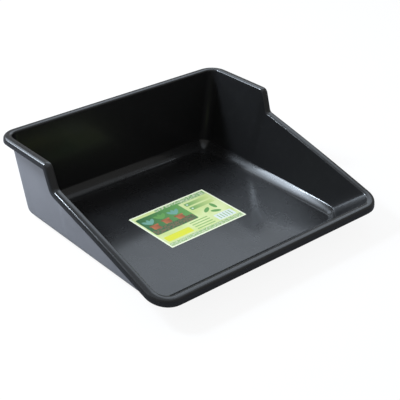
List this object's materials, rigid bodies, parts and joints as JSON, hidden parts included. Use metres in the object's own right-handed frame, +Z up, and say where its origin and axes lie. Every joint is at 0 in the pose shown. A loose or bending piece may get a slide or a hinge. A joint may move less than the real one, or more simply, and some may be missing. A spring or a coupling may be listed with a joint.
{
  "type": "potting tray",
  "caption": "Moulded plastic potting tray with a high back, side walls that step and slope down to a low front lip, a rolled rim and a printed label on the floor.",
  "frame": {"origin": "middle of the tray in plan, on the ground under the flat base", "axes": "+X to the right along the front lip, +Y to the high back, +Z up"},
  "size_m": [0.605, 0.552, 0.2],
  "materials": {
    "tray": "glossy moulded black, with fine scuffs",
    "label": "satin printed film"
  },
  "bodies": {
    "root": {"tray": "tray", "label": "label"}
  },
  "joints": []
}
